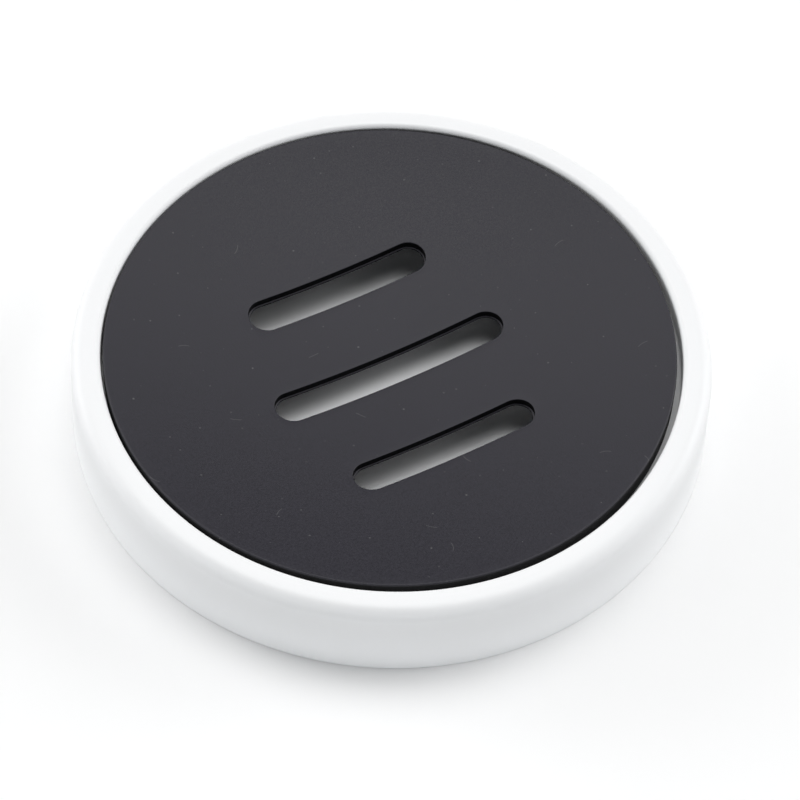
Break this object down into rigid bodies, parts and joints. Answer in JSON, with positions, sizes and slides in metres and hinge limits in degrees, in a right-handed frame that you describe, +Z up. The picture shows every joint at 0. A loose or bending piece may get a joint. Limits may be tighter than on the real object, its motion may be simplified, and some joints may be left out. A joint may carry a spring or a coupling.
{
  "type": "soap dish",
  "caption": "Round white soap dish with a loose, dished charcoal drain plate that has round-ended slots, over a shallow drip basin.",
  "frame": {"origin": "on the surface that the dish stands on, at the middle of the dish", "axes": "+Z up, along the dish's turned axis; +X along the slots of the drain plate"},
  "size_m": [0.1166, 0.1166, 0.0163],
  "materials": {
    "dish_white": "satin white",
    "plate_charcoal": "matte charcoal",
    "pad_rubber": "matte grey"
  },
  "bodies": {
    "base": {"base_dish": "dish_white", "foot_pad_1": "pad_rubber", "foot_pad_2": "pad_rubber", "foot_pad_3": "pad_rubber", "foot_pad_4": "pad_rubber"},
    "plate": {"drain_plate": "plate_charcoal"}
  },
  "joints": [
    {"name": "plate_lift", "type": "slide", "parent": "base", "child": "plate", "axis": [0, 0, 1], "range_m": [0, 0.03]}
  ]
}
